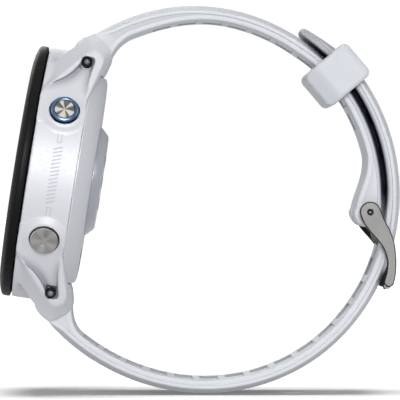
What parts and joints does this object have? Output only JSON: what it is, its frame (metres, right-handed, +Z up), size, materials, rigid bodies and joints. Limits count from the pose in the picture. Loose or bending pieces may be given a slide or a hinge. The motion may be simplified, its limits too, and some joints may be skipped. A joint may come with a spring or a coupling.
{
  "type": "gps running watch",
  "caption": "Round sports watch with side buttons, domed heart-rate window, and a silicone strap closed to a worn loop by a pin buckle and keeper.",
  "frame": {"origin": "ground point under the middle of the strap loop, midway across the watch's width", "axes": "+Z up, 12 o'clock end of the case up; -X out of the dial; -Y out of the 3 o'clock side, where the start and back buttons are"},
  "size_m": [0.074, 0.0475, 0.0715],
  "materials": {
    "white_polymer": "satin moulded white polymer",
    "grey_polymer": "satin pale grey polymer",
    "black_bezel": "satin black bezel",
    "display_glass": "polished chemically strengthened glass over a dark display",
    "sensor_glass": "polished black sensor window",
    "black_rubber": "black seal rubber",
    "black_polymer": "black moulded polymer",
    "circuit_board": "green solder mask",
    "steel": "drawn stainless steel",
    "dark_steel": "blackened steel",
    "button_steel": "radially brushed steel",
    "blue_anodised": "blue anodised ring",
    "gold_plate": "gold plate",
    "buckle_metal": "bead blasted gunmetal grey",
    "strap_silicone": "bluish white silicone with a fine diagonal texture"
  },
  "bodies": {
    "watch": {"case_body": "white_polymer", "bezel_ring": "black_bezel", "lens": "display_glass", "lens_gasket": "black_rubber", "display_module": "black_polymer", "inner_frame": "black_polymer", "main_board": "circuit_board", "processor_shield": "steel", "gps_antenna": "gold_plate", "battery": "steel", "vibration_motor": "steel", "piezo_buzzer": "gold_plate", "back_cover": "grey_polymer", "back_gasket": "black_rubber", "sensor_window": "sensor_glass", "sensor_board": "circuit_board", "charging_port": "black_polymer", "upper_strap": "strap_silicone", "lower_strap": "strap_silicone", "buckle_pin": "steel", "back_screw_1": "dark_steel", "charge_contact_1": "gold_plate", "back_screw_2": "dark_steel", "charge_contact_2": "gold_plate", "back_screw_3": "dark_steel", "charge_contact_3": "gold_plate", "back_screw_4": "dark_steel", "charge_contact_4": "gold_plate", "start_seal": "black_rubber", "start_switch": "black_polymer", "back_seal": "black_rubber", "back_switch": "black_polymer", "light_seal": "black_rubber", "light_switch": "black_polymer", "up_seal": "black_rubber", "up_switch": "black_polymer", "down_seal": "black_rubber", "down_switch": "black_polymer", "upper_bar_tube": "steel", "lower_bar_tube": "steel"},
    "start_button": {"start_button": "button_steel", "start_button_ring": "blue_anodised"},
    "back_button": {"back_button": "button_steel"},
    "light_button": {"light_button": "button_steel"},
    "up_button": {"up_button": "button_steel"},
    "down_button": {"down_button": "button_steel"},
    "upper_release": {"upper_bar_pin": "steel"},
    "lower_release": {"lower_bar_pin": "steel"},
    "keeper": {"keeper": "strap_silicone"},
    "buckle_frame": {"buckle_frame": "buckle_metal"},
    "buckle_tongue": {"buckle_tongue": "buckle_metal"}
  },
  "joints": [
    {"name": "start_button_press", "type": "slide", "parent": "watch", "child": "start_button", "axis": [-0.0632, 0.9135, -0.4018], "range_m": [0, 0.0005], "stiffness_N_per_m": 1200, "springref_m": -0.001},
    {"name": "back_button_press", "type": "slide", "parent": "watch", "child": "back_button", "axis": [0.0632, 0.9135, 0.4018], "range_m": [0, 0.0005], "stiffness_N_per_m": 1200, "springref_m": -0.001},
    {"name": "light_button_press", "type": "slide", "parent": "watch", "child": "light_button", "axis": [-0.0632, -0.9135, -0.4018], "range_m": [0, 0.0005], "stiffness_N_per_m": 1200, "springref_m": -0.001},
    {"name": "up_button_press", "type": "slide", "parent": "watch", "child": "up_button", "axis": [0, -1, 0], "range_m": [0, 0.0005], "stiffness_N_per_m": 1200, "springref_m": -0.001},
    {"name": "down_button_press", "type": "slide", "parent": "watch", "child": "down_button", "axis": [0.0632, -0.9135, 0.4018], "range_m": [0, 0.0005], "stiffness_N_per_m": 1200, "springref_m": -0.001},
    {"name": "upper_release_slide", "type": "slide", "parent": "watch", "child": "upper_release", "axis": [0, 1, 0], "range_m": [0, 0.0016], "stiffness_N_per_m": 800, "springref_m": -0.001},
    {"name": "lower_release_slide", "type": "slide", "parent": "watch", "child": "lower_release", "axis": [0, 1, 0], "range_m": [0, 0.0016], "stiffness_N_per_m": 800, "springref_m": -0.001},
    {"name": "keeper_slide", "type": "hinge", "parent": "watch", "child": "keeper", "pos_m": [-0.00071, 0, 0.03669], "axis": [0, -1, 0], "range_deg": [-20, 8]},
    {"name": "buckle_swing", "type": "hinge", "parent": "watch", "child": "buckle_frame", "pos_m": [0.03098, 0, 0.03347], "axis": [0, -1, 0], "range_deg": [0, 5]},
    {"name": "tongue_lift", "type": "hinge", "parent": "buckle_frame", "child": "buckle_tongue", "pos_m": [0.03098, 0, 0.03347], "axis": [0, -1, 0], "range_deg": [0, 3]}
  ]
}
